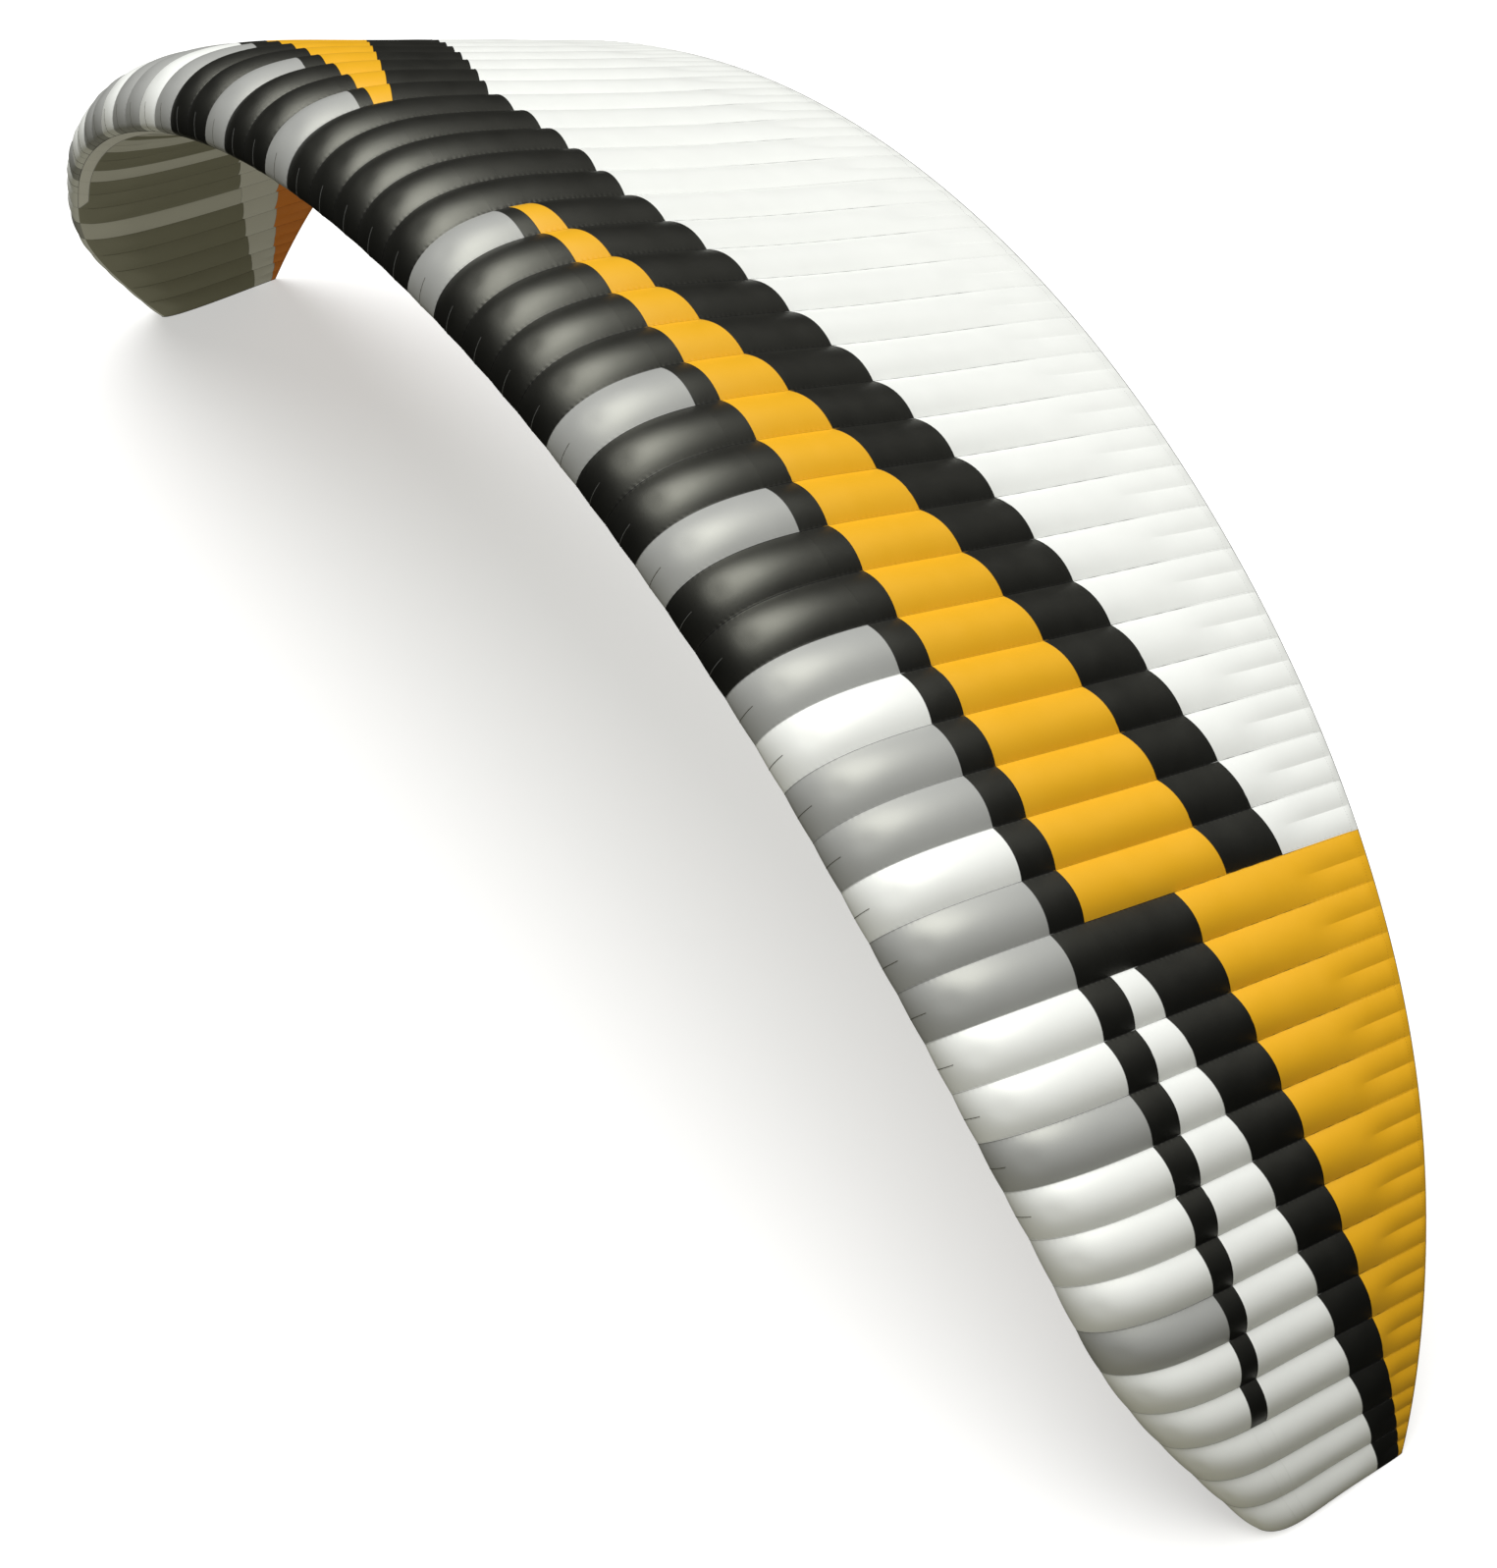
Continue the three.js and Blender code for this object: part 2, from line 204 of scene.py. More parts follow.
# A round floor whose rim sweeps up into a plain wall, facing inwards.
def sweptFloor():
    plan = studioPlan
    turns = np.linspace(0, math.pi / 2, plan["sweepSteps"] + 1)
    reaches = plan["floorReach"] + plan["sweepRadius"] * np.sin(turns)
    heights = plan["sweepRadius"] * (1 - np.cos(turns))
    rings = [*zip(reaches, heights), (reaches[-1], plan["wallTop"])]
    sides = plan["wallSides"]
    points = [(0, 0, 0)]
    for reach, height in rings:
        for side in range(sides):
            angle = 2 * math.pi * side / sides
            points.append((reach * math.cos(angle), reach * math.sin(angle), height))
    faces = [(0, 1 + side, 1 + (side + 1) % sides) for side in range(sides)]
    for ring in range(len(rings) - 1):
        start = 1 + ring * sides
        for side in range(sides):
            near = start + side
            beside = start + (side + 1) % sides
            faces.append((near, near + sides, beside + sides, beside))
    mesh = bpy.data.meshes.new("floor")
    mesh.from_pydata(points, [], faces)
    mesh.polygons.foreach_set("use_smooth", np.ones(len(faces), bool))
    return mesh


def makeStudio():
    plan = studioPlan
    mesh = sweptFloor()
    floor = bpy.data.objects.new("floor", mesh)
    paint = bpy.data.materials.new("paleFloor")
    paint.use_nodes = True
    shader = paint.node_tree.nodes["Principled BSDF"]
    shader.inputs["Base Color"].default_value = (*plan["floorColour"], 1)
    shader.inputs["Emission Color"].default_value = (1, 1, 1, 1)
    shader.inputs["Emission Strength"].default_value = plan["floorGlow"]
    shader.inputs["Roughness"].default_value = plan["floorRoughness"]
    mesh.materials.append(paint)
    bpy.context.scene.collection.objects.link(floor)
    floor.visible_diffuse = False  # the fill light below stands in for its bounce
    floor.visible_glossy = False
    floor.visible_shadow = False
    makeSun("softSun", plan["sunStrength"], plan["sunAngle"], plan["sunFrom"])
    fillPlan = (plan["fillStrength"], plan["fillAngle"], plan["fillFrom"], plan["fillColour"])
    makeSun("floorFill", *fillPlan)
    world = bpy.data.worlds.new("studio")
    world.use_nodes = True
    sky = world.node_tree.nodes["Background"]
    sky.inputs["Color"].default_value = (*plan["skyColour"], 1)
    sky.inputs["Strength"].default_value = plan["skyStrength"]
    world.cycles_visibility.glossy = False
    bpy.context.scene.world = world
    bpy.context.scene.view_settings.view_transform = "Standard"


# Smooth curve through one column of a table.
def readTable(table, column, at, flatStart=False):
    knots = np.array(table["along"])
    values = np.array(table[column])
    rises = np.diff(values) / np.diff(knots)
    before = np.diff(knots)[:-1]
    after = np.diff(knots)[1:]
    slopes = np.zeros(len(knots))
    slopes[1:-1] = (after * rises[:-1] + before * rises[1:]) / (before + after)
    slopes[0] = 0 if flatStart else 2 * rises[0] - slopes[1]
    slopes[-1] = 2 * rises[-1] - slopes[-2]
    i = np.clip(np.searchsorted(knots, at) - 1, 0, len(knots) - 2)
    step = knots[i + 1] - knots[i]
    t = (at - knots[i]) / step
    start = (2 * t**3 - 3 * t**2 + 1) * values[i] + (t**3 - 2 * t**2 + t) * step * slopes[i]
    end = (3 * t**2 - 2 * t**3) * values[i + 1] + (t**3 - t**2) * step * slopes[i + 1]
    return start + end


def easeBetween(value, low, high):
    t = np.clip((value - low) / (high - low), 0, 1)
    return t * t * (3 - 2 * t)


# Share of the half span at each rib, from 0 at the middle to 1 at the tip.
def placeRibs():
    cells = np.arange(1, cellsPerHalf + 1)
    middle = (cells - 0.5) / cellsPerHalf
    growth = wingPlan["widthGrowth"] * middle
    shrink = wingPlan["widthShrink"] * middle**2
    regain = wingPlan["widthRegain"] * middle**4
    widths = 1 + growth - shrink + regain
    widths[cells > cellsPerHalf - wingPlan["tipCells"]] *= wingPlan["tipCellShare"]
    places = np.concatenate([[0], np.cumsum(widths)])
    return places / places[-1]


# The arc of the span, stepped once: sideways reach and height at each step.
def traceArc():
    steps = wingPlan["arcSteps"]
    turn = np.radians(readTable(spanStations, "arc", (np.arange(steps) + 0.5) / steps))
    length = halfSpan / steps
    reach = np.concatenate([[0], np.cumsum(length * np.cos(turn))])
    height = np.concatenate([[0], -np.cumsum(length * np.sin(turn))])
    return np.linspace(0, 1, steps + 1), reach, height


ribPlaces = placeRibs()
arcShares, arcReach, arcHeight = traceArc()
noseUp = math.radians(wingPlan["noseUp"])


def pitchUp(y, z):
    return y * np.cos(noseUp) + z * np.sin(noseUp), z * np.cos(noseUp) - y * np.sin(noseUp)


def findRestHeight():
    middle = (spanStations["sweep"][-1] + spanStations["chord"][-1] / 2) * centreChord
    return tipTop - pitchUp(middle, arcHeight[-1])[1]


restHeight = findRestHeight()


# Point on the rib outline in chord shares. The trace runs from -1 at the
# lower trailing edge through 0 at the nose to 1 at the upper trailing edge.
def outlinePoint(trace):
    x = np.minimum(trace * trace, 1)
    rest = 1 - x
    height = 0
    for fullness, sign in ((wingPlan["upperFullness"], 1), (wingPlan["lowerFullness"], -1)):
        blend = fullness[0] * rest**3 + 3 * fullness[1] * x * rest**2
        blend = blend + 3 * fullness[2] * x**2 * rest + fullness[3] * x**3
        height = height + np.where(np.sign(trace + 1e-12) == sign, sign * np.sqrt(x) * rest * blend, 0)
    return x, height


def outlineNormal(trace):
    step = wingPlan["slopeStep"]
    aheadX, aheadZ = outlinePoint(np.minimum(trace + step, 1))
    behindX, behindZ = outlinePoint(np.maximum(trace - step, -1))
    run = np.hypot(aheadX - behindX, aheadZ - behindZ)
    return -(aheadZ - behindZ) / run, (aheadX - behindX) / run


# A point of the right half's cloth, lifted off the rib outline.
def clothPoint(along, trace, lift):
    along, trace, lift = np.broadcast_arrays(along, trace, lift)
    chord = readTable(spanStations, "chord", along, True) * centreChord
    sweep = readTable(spanStations, "sweep", along, True) * centreChord
    turn = np.radians(readTable(spanStations, "arc", along))
    twist = np.radians(readTable(spanStations, "twist", along, True))
    outX, outZ = outlinePoint(trace)
    normalX, normalZ = outlineNormal(trace)
    pivot = wingPlan["twistPivot"] * chord
    back = outX * chord + normalX * lift - pivot
    up = outZ * chord + normalZ * lift
    y = sweep + pivot + back * np.cos(twist) + up * np.sin(twist)
    out = up * np.cos(twist) - back * np.sin(twist)
    spineX = np.interp(along, arcShares, arcReach)
    spineZ = np.interp(along, arcShares, arcHeight)
    x = spineX + out * np.sin(turn)
    y, z = pitchUp(y, spineZ + out * np.cos(turn))
    y = y - wingPlan["originBehindNose"]
    z = z + restHeight
    return levelTip(x, y, z, along, turn)


# Slides the last ribs along the span until the tip lies level.
def levelTip(x, y, z, along, turn):
    share = np.clip((along - wingPlan["levelFrom"]) / (1 - wingPlan["levelFrom"]), 0, 1)
    runY, runZ = pitchUp(0, -np.sin(turn))
    left = (1 - along) * halfSpan
    with np.errstate(divide="ignore", invalid="ignore"):
        slide = np.where(share > 0, (tipTop - (z + runZ * left)) / runZ, 0)
    amount = slide * share * share
    return np.stack([x + amount * np.cos(turn), y + amount * runY, z + amount * runZ], -1)


# How far the cloth stands out from the ribs, q running 0 to 1 over a cell.
def bellyAt(cellWidth, q, trace):
    plan = bellyPlan
    x = trace * trace
    bandFront = math.sqrt(seamPlan["bandStart"])
    bandRear = math.sqrt(seamPlan["bandEnd"])
    share = plan["alongTop"] * easeBetween(trace, -bandFront, math.sqrt(plan["topFull"]))
    share = share + plan["below"] * easeBetween(-trace, bandRear, math.sqrt(plan["lowerFull"]))
    fade = np.clip((x - plan["fadeStart"]) / (1 - plan["fadeStart"]), 0, 1)
    share = share + (plan["atTail"] - share) * fade
    whole = share * (1 - (2 * q - 1) ** 2)
    inHalf = np.mod(2 * q, 1)
    halved = plan["halfRibBelly"] * (1 - (2 * inHalf - 1) ** 2)
    split = easeBetween(x, plan["halfRibStart"], plan["halfRibFull"])
    bulge = cellWidth * (whole * (1 - split) + halved * split)
    bulge = bulge * (1 - easeBetween(x, plan["closeFrom"], 1.0))
    trough = np.exp(-(((x - plan["dartTroughAt"]) / plan["dartTroughReach"]) ** 2))
    nearMiddle = np.exp(-(((q - 0.5) / plan["dartTroughSide"]) ** 2))
    return bulge - np.where(trace > 0, plan["dartTrough"] * trough * nearMiddle, 0)


def upperSeam(side, sector, column, along):
    if sector == "Outer":
        return readTable(outerSeams, column, along)
    if side > 0:
        return readTable(innerSeams, column, along)
    start = ribPlaces[seamPlan["plainLeftCells"]]
    end = ribPlaces[seamPlan["firstOuterCell"] - 1]
    moved = np.maximum((along - start) / (end - start) * end, 0)
    return readTable(innerSeams, column, moved)


# Draws a place in a cell towards the cell's middle.
def squareToCell(along):
    cell = np.clip(np.searchsorted(ribPlaces, along, "right"), 1, cellsPerHalf)
    middle = (ribPlaces[cell] + ribPlaces[cell - 1]) / 2
    return along + (middle - along) * seamPlan["lowerStep"]


def bandEndAt(along):
    end = ribPlaces[seamPlan["lastOpenCell"]]
    taper = np.clip((along - seamPlan["bandTaperFrom"]) / (end - seamPlan["bandTaperFrom"]), 0, 1)
    point = seamPlan["bandStart"] + seamPlan["bandPoint"]
    width = seamPlan["bandEnd"] + (point - seamPlan["bandEnd"]) * taper
    return np.where(along > end, seamPlan["bandStart"], width)


# The rows of panels: name, first and last trace, steps, cells, slot.
def panelRows(side, sector):
    first, last = sectorCells[sector]
    outer = sector == "Outer"
    bandCells = (first, min(last, seamPlan["lastOpenCell"]))

    def above(column):
        return lambda along: np.sqrt(upperSeam(side, sector, column, along))

    def below(column):
        return lambda along: -np.sqrt(upperSeam(side, sector, column, squareToCell(along)))

    def nose(along):
        return -math.sqrt(seamPlan["bandStart"]) + 0 * along

    def bandRear(along):
        return -np.sqrt(bandEndAt(along))

    def upperTail(along):
        return 1 + 0 * along

    def lowerTail(along):
        return -1 + 0 * along

    cells = (first, last)
    middleSlot = "white_cloth" if outer else "yellow_cloth"
    tailSlot = "yellow_cloth" if outer else "white_cloth"
    return [
        ("nosePanels", nose, above("noseEnd"), 28, cells, "nose_cloth"),
        ("frontStripe", above("noseEnd"), above("frontEnd"), 6, cells, "black_cloth"),
        ("middleStripe", above("frontEnd"), above("middleEnd"), 12, cells, middleSlot),
        ("rearStripe", above("middleEnd"), above("rearEnd"), 10, cells, "black_cloth"),
        ("trailingPanels", above("rearEnd"), upperTail, 30, cells, tailSlot),
        ("intakeBand", bandRear, nose, 4, bandCells, "band_cloth"),
        ("lowerPanels", below("middleEnd"), bandRear, 30, cells, "lower_cloth"),
        ("lowerStripe", below("rearEnd"), below("middleEnd"), 10, cells, "pale_lower_cloth"),
        ("lowerTrailing", lowerTail, below("rearEnd"), 12, cells, tailSlot),
    ]


def noseDye(cell, side):
    if cell in dyePlan["greyNoses"] and (side > 0 or cell > seamPlan["plainLeftCells"]):
        return "grey"
    return "black" if cell <= dyePlan["lastBlackNose"] else "white"


# The dye of one cell's panel in a row, by name.
def dyeName(side, cell, row):
    outer = cell >= seamPlan["firstOuterCell"]
    plainLeft = side < 0 and cell <= seamPlan["plainLeftCells"]
    if row == "nosePanels":
        return noseDye(cell, side)
    if row == "frontStripe":
        return "white" if cell >= dyePlan["whiteStripeFrom"] else "black"
    if row == "middleStripe":
        if plainLeft or cell == seamPlan["firstOuterCell"]:
            return "black"
        return "white" if outer else "yellow"
    if row == "rearStripe":
        return "black"
    if row == "trailingPanels":
        return "yellow" if outer else "white"
    if row == "intakeBand":
        return "band"
    if row == "lowerPanels":
        return "paleLower" if cell in dyePlan["greyNoses"] else "darkLower"
    if row == "lowerStripe":
        return "stripeLower"
    # the outer lower trailing panels take the yellow cloth with painted shade, a deeper orange
    return "shadedTailYellow" if outer else "white"


# Dyes are written as a screen shows them, and the shaders take them linear.
def toLinear(colour):
    return [value / 12.92 if value < 0.04 else ((value + 0.055) / 1.055) ** 2.4 for value in colour]


def dyeColour(name):
    return np.array([*toLinear(dyePlan[name]), 1.0])


# Columns along the span: along, cell number, width of the cell, q.
def spanColumns(cells, perCell):
    columns = []
    for cell in range(cells[0], cells[1] + 1):
        start = ribPlaces[cell - 1]
        end = ribPlaces[cell]
        width = (end - start) * halfSpan
        for step in range(perCell):
            q = step / perCell
            along = start + (end - start) * q
            if step == 0 and cell == cells[0]:
                along += halfGap / halfSpan
            columns.append((along, cell, width, q))
    last = 1.0 if cells[1] == cellsPerHalf else end - halfGap / halfSpan
    columns.append((last, cells[1], width, 1.0))
    return np.array(columns)


# Trace inside a piece, kept half a gap short of its two seams.
def pieceTraces(along, start, end, steps):
    chord = readTable(spanStations, "chord", along, True) * centreChord
    reach = wingPlan["seamStep"]

    def inset(trace):
        beforeX, beforeZ = outlinePoint(np.maximum(trace - reach, -1))
        afterX, afterZ = outlinePoint(np.minimum(trace + reach, 1))
        return halfGap * 2 * reach / (np.hypot(beforeX - afterX, beforeZ - afterZ) * chord)

    first = np.where(start <= -1, -1, start + inset(start))
    last = np.where(end >= 1, 1, end - inset(end))
    share = np.linspace(0, 1, steps + 1)
    return first[:, None] + (last - first)[:, None] * share[None, :]


# Two layers of cloth joined by a rim, as one closed mesh.
def sheetFaces(rows, columns):
    def at(i, j, layer):
        return 2 * (i * (columns + 1) + j) + layer

    i, j = np.meshgrid(np.arange(rows), np.arange(columns), indexing="ij")
    i = i.ravel()
    j = j.ravel()
    outside = np.stack([at(i, j, 0), at(i + 1, j, 0), at(i + 1, j + 1, 0), at(i, j + 1, 0)], -1)
    inside = np.stack([at(i, j, 1), at(i, j + 1, 1), at(i + 1, j + 1, 1), at(i + 1, j, 1)], -1)
    n = np.arange(rows)
    zero = np.zeros_like(n)
    full = zero + columns
    front = np.stack([at(n, zero, 0), at(n, zero, 1), at(n + 1, zero, 1), at(n + 1, zero, 0)], -1)
    rear = np.stack([at(n, full, 0), at(n + 1, full, 0), at(n + 1, full, 1), at(n, full, 1)], -1)
    m = np.arange(columns)
    zero = np.zeros_like(m)
    full = zero + rows
    near = np.stack([at(zero, m, 0), at(zero, m + 1, 0), at(zero, m + 1, 1), at(zero, m, 1)], -1)
    far = np.stack([at(full, m, 0), at(full, m, 1), at(full, m + 1, 1), at(full, m + 1, 0)], -1)
    return np.concatenate([outside, inside, front, rear, near, far])


def makeSkin(name, side, sector, row, material):
    rowName, start, end, chordSteps, cells, slotName = row
    perCell = int(wingPlan["stepsPerCell"] * fineness)
    chordSteps = max(2, int(chordSteps * fineness))
    columns = spanColumns(cells, perCell)
    along = columns[:, 0]
    width = columns[:, 2][:, None]
    q = columns[:, 3][:, None]
    traces = pieceTraces(along, start(along), end(along), chordSteps)
    belly = bellyAt(width, q, traces)
    outer = clothPoint(along[:, None], traces, belly + clothThickness + halfGap)
    inner = clothPoint(along[:, None], traces, belly + halfGap)
    points = np.stack([outer, inner], 2).reshape(-1, 3)
    points[:, 0] *= side
    rows = len(along) - 1
    faces = sheetFaces(rows, chordSteps)
    if side < 0:
        faces = faces[:, ::-1]
    mesh = bpy.data.meshes.new(name)
    mesh.from_pydata(points.tolist(), [], faces.tolist())
    piece = bpy.data.objects.new(name, mesh)
    bpy.context.scene.collection.objects.link(piece)
    paintSkin(mesh, faces, side, rowName, columns, traces, chordSteps, outer)
    mesh.materials.append(material)
    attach(piece, "root")
    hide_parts(f"{'right' if side > 0 else 'left'}{sector}_{rowName}")
    return piece


# Dye, cloth map in metres and place in the cell, on every face corner.
def paintSkin(mesh, faces, side, rowName, columns, traces, chordSteps, outer):
    corners = faces.reshape(-1)
    columnOf = corners // 2 // (chordSteps + 1)
    traceOf = corners // 2 % (chordSteps + 1)
    faceColumn = columnOf.reshape(-1, 4).min(1)
    cellOfFace = columns[np.minimum(faceColumn, len(columns) - 2), 1].astype(int)
    cellOfCorner = np.repeat(cellOfFace, 4)
    q = columns[columnOf, 3].copy()
    q[(q == 0) & (columns[columnOf, 1].astype(int) != cellOfCorner)] = 1.0
    widths = {int(column[1]): column[2] for column in columns}
    firstCell = min(widths)
    width = np.array([widths[cell] for cell in sorted(widths)])[cellOfCorner - firstCell]
    runs = np.linalg.norm(np.diff(outer, axis=1), axis=2)
    lengths = np.concatenate([np.zeros((len(runs), 1)), np.cumsum(runs, 1)], 1)
    cloth = np.stack([(q - 0.5) * width, lengths[columnOf, traceOf]], -1)
    place = np.stack([q, 0.5 + 0.5 * traces[columnOf, traceOf]], -1)
    for layerName, values in (("clothMap", cloth), ("cellMap", place)):
        layer = mesh.uv_layers.new(name=layerName)
        layer.uv.foreach_set("vector", values.astype(np.float32).ravel())
    colours = np.array([dyeColour(dyeName(side, cell, rowName)) for cell in sorted(widths)])
    dyes = mesh.color_attributes.new("dye", "FLOAT_COLOR", "CORNER")
    dyes.data.foreach_set("color", colours[cellOfCorner - firstCell].astype(np.float32).ravel())
    markRibs(mesh, columns, traces, chordSteps)


# Edges that lie on a rib, on a half rib's end or round the rim stay sharp.
def markRibs(mesh, columns, traces, chordSteps):
    mesh.polygons.foreach_set("use_smooth", np.ones(len(mesh.polygons), bool))
    ends = np.zeros(len(mesh.edges) * 2, int)
    mesh.edges.foreach_get("vertices", ends)
    ends = ends.reshape(-1, 2)
    column = ends // 2 // (chordSteps + 1)
    trace = ends // 2 % (chordSteps + 1)
    sameColumn = column[:, 0] == column[:, 1]
    onRib = sameColumn & np.isin(columns[column[:, 0], 3], (0.0, 1.0))
    places = traces[column[:, 0], trace[:, 0]] ** 2
    onHalfRib = sameColumn & (columns[column[:, 0], 3] == 0.5)
    onHalfRib = onHalfRib & (places > bellyPlan["halfRibSharpFrom"])
    rim = (trace[:, 0] == trace[:, 1]) & np.isin(trace[:, 0], (0, chordSteps))
    mesh.edges.foreach_set("use_edge_sharp", onRib | onHalfRib | rim)


# One socket with arithmetic, so that shader maths reads as expressions.
class Field:
    def __init__(self, tree, socket=None):
        self.tree = tree
        self.socket = socket

    def node(self, kind, settings, inputs, output=0):
        made = self.tree.nodes.new(kind)
        for key, value in settings.items():
            setattr(made, key, value)
        for key, value in inputs.items():
            if isinstance(value, Field):
                self.tree.links.new(value.socket, made.inputs[key])
            else:
                made.inputs[key].default_value = value
        return Field(self.tree, made.outputs[output])

    def math(self, operation, *values):
        return self.node("ShaderNodeMath", {"operation": operation}, dict(enumerate(values)))

    def __add__(self, other):
        return self.math("ADD", self, other)

    __radd__ = __add__

    def __mul__(self, other):
        return self.math("MULTIPLY", self, other)

    __rmul__ = __mul__

    def __sub__(self, other):
        return self.math("SUBTRACT", self, other)

    def __rsub__(self, other):
        return self.math("SUBTRACT", other, self)

    def __gt__(self, other):
        return self.math("GREATER_THAN", self, other)

    def size(self):
        return self.math("ABSOLUTE", self)

    def wave(self, period):
        return self.math("SINE", self * (2 * math.pi / period))

    def ease(self, low, high):
        settings = {"interpolation_type": "SMOOTHSTEP"}
        inputs = {"Value": self, "From Min": low, "From Max": high}
        return self.node("ShaderNodeMapRange", settings, inputs)


ripstopPlan = {
    "threadPitch": 0.0011,
    "ripPitch": 0.006,
    "threadRise": 0.00001,
    "ripRise": 0.00006,
    "puckerPitch": 0.024,
    "puckerRise": 0.0003,
    "puckerReach": 0.02,
    "creaseRise": 0.0012,
    "puckerWander": 0.02,
    "ripSharpness": 0.86,  # how near its crest the wave has to be to count as a rip thread
    "seamLine": (0.0004, 0.0016),  # the shaded line on a rib's seam, its core and its edge
    "stitchPitch": 0.0035,
    "stitchFromSeam": 0.004,
    "stitchLine": (0.0003, 0.0009),
    "stitchShade": 0.12,
    "stitchSink": 0.0003,
    "cellWidth": 0.187,  # a typical cell's, which turns q into metres from a seam
    "blotchScale": 1.3,
    "streakScale": 9.0,
    "puckerScale": 14.0,
    "shadeVariation": 0.035,
    "roughness": 0.48,
    "coatingTint": (1.0, 1.0, 0.86),
    "coatingIndex": 1.62,
    "coatingGloss": 1.0,
    "roughnessVariation": 0.1,
    "ripPolish": 0.04,
    "seamShade": 0.72,
}


# Coated ripstop: dye by panel, fine weave, rip threads, puckers at seams.
def makeRipstop(name, look):
    material = bpy.data.materials.new(name)
    material.use_nodes = True
    tree = material.node_tree
    shader = tree.nodes["Principled BSDF"]
    field = Field(tree)
    cloth = field.node("ShaderNodeUVMap", {"uv_map": "clothMap"}, {})
    across = field.node("ShaderNodeSeparateXYZ", {}, {"Vector": cloth}, "X")
    along = field.node("ShaderNodeSeparateXYZ", {}, {"Vector": cloth}, "Y")
    place = field.node("ShaderNodeUVMap", {"uv_map": "cellMap"}, {})
    q = field.node("ShaderNodeSeparateXYZ", {}, {"Vector": place}, "X")
    body = field.node("ShaderNodeTexCoord", {}, {}, "Object")
    seamAway = (0.5 - (q - 0.5).size()) * ripstopPlan["cellWidth"]

    broad = noise(field, body, ripstopPlan["blotchScale"], 2.0)
    streaks = noise(field, body, ripstopPlan["streakScale"], 3.0)
    blotch = (broad - 0.5) * 2 + (streaks - 0.5)
    shade = 1 + blotch * ripstopPlan["shadeVariation"]
    seamLine = 1 - seamAway.ease(*ripstopPlan["seamLine"])
    fromStitch = (seamAway - ripstopPlan["stitchFromSeam"]).size()
    stitchRow = 1 - fromStitch.ease(*ripstopPlan["stitchLine"])
    stitch = stitchRow * (along.wave(ripstopPlan["stitchPitch"]) > 0.0)
    shade = shade * (1 - seamLine * (1 - ripstopPlan["seamShade"]))
    shade = shade * (1 - stitch * ripstopPlan["stitchShade"])
    dye = field.node("ShaderNodeVertexColor", {"layer_name": "dye"}, {})
    tinted = field.node(
        "ShaderNodeVectorMath", {"operation": "SCALE"}, {0: dye, "Scale": shade}
    )
    tree.links.new(tinted.socket, shader.inputs["Base Color"])

    weave = across.wave(ripstopPlan["threadPitch"]) * along.wave(ripstopPlan["threadPitch"])
    ripAcross = across.wave(ripstopPlan["ripPitch"]).ease(ripstopPlan["ripSharpness"], 1.0)
    ripAlong = along.wave(ripstopPlan["ripPitch"]).ease(ripstopPlan["ripSharpness"], 1.0)
    rips = field.math("MAXIMUM", ripAcross, ripAlong)
    nearSeam = 1 - seamAway.ease(0.0, ripstopPlan["puckerReach"])
    wander = noise(field, body, ripstopPlan["puckerScale"], 1.0) * ripstopPlan["puckerWander"]
    pucker = (along + wander).wave(ripstopPlan["puckerPitch"]) * nearSeam * nearSeam
    creases = noise(field, stretched(field, cloth, look["creaseScale"]), 1.0, 3.0)
    height = weave * ripstopPlan["threadRise"] + rips * ripstopPlan["ripRise"]
    height = height + pucker * ripstopPlan["puckerRise"]
    height = height + creases * ripstopPlan["creaseRise"] * look["creases"]
    height = height - stitchRow * ripstopPlan["stitchSink"]
    bump = field.node("ShaderNodeBump", {}, {"Height": height, "Distance": 1.0, "Strength": 1.0})
    tree.links.new(bump.socket, shader.inputs["Normal"])

    roughness = ripstopPlan["roughness"] + (streaks - 0.5) * ripstopPlan["roughnessVariation"]
    roughness = roughness - rips * ripstopPlan["ripPolish"]
    tree.links.new(roughness.socket, shader.inputs["Roughness"])
    shader.inputs["IOR"].default_value = ripstopPlan["coatingIndex"]
    shader.inputs["Specular Tint"].default_value = (*ripstopPlan["coatingTint"], 1)
    shader.inputs["Specular IOR Level"].default_value = ripstopPlan["coatingGloss"]
    return material


def noise(field, vector, scale, detail):
    inputs = {"Vector": vector, "Scale": scale, "Detail": detail, "Roughness": 0.5}
    return field.node("ShaderNodeTexNoise", {}, inputs)


def stretched(field, vector, scale):
    return field.node("ShaderNodeMapping", {}, {"Vector": vector, "Scale": scale})


# How much each cloth creases, and how closely its creases lie along each axis.
clothLooks = {
    "nose_cloth": {"name": "noseRipstop", "creases": 0.6, "creaseScale": (9, 3, 1)},
    "black_cloth": {"name": "blackRipstop", "creases": 0.5, "creaseScale": (8, 4, 1)},
    "yellow_cloth": {"name": "yellowRipstop", "creases": 0.6, "creaseScale": (8, 4, 1)},
    "white_cloth": {"name": "whiteRipstop", "creases": 0.7, "creaseScale": (8, 3, 1)},
    "band_cloth": {"name": "bandFabric", "creases": 0.3, "creaseScale": (6, 6, 1)},
    "lower_cloth": {"name": "lowerRipstop", "creases": 0.7, "creaseScale": (8, 3, 1)},
    "pale_lower_cloth": {"name": "paleLowerRipstop", "creases": 0.7, "creaseScale": (8, 3, 1)},
}


def makeSkins(materials):
    for side, half in ((1, "right"), (-1, "left")):
        for sector in sectorCells:
            for row in panelRows(side, sector):
                name = f"{half}{sector}{row[0][0].upper()}{row[0][1:]}"
                makeSkin(name, side, sector, row, materials[row[5]])
        print("skins made:", half)


tipPlan = {
    "edgeSteps": 48,  # points along the panel from its nose to its tail
    "crossSteps": 6,
}


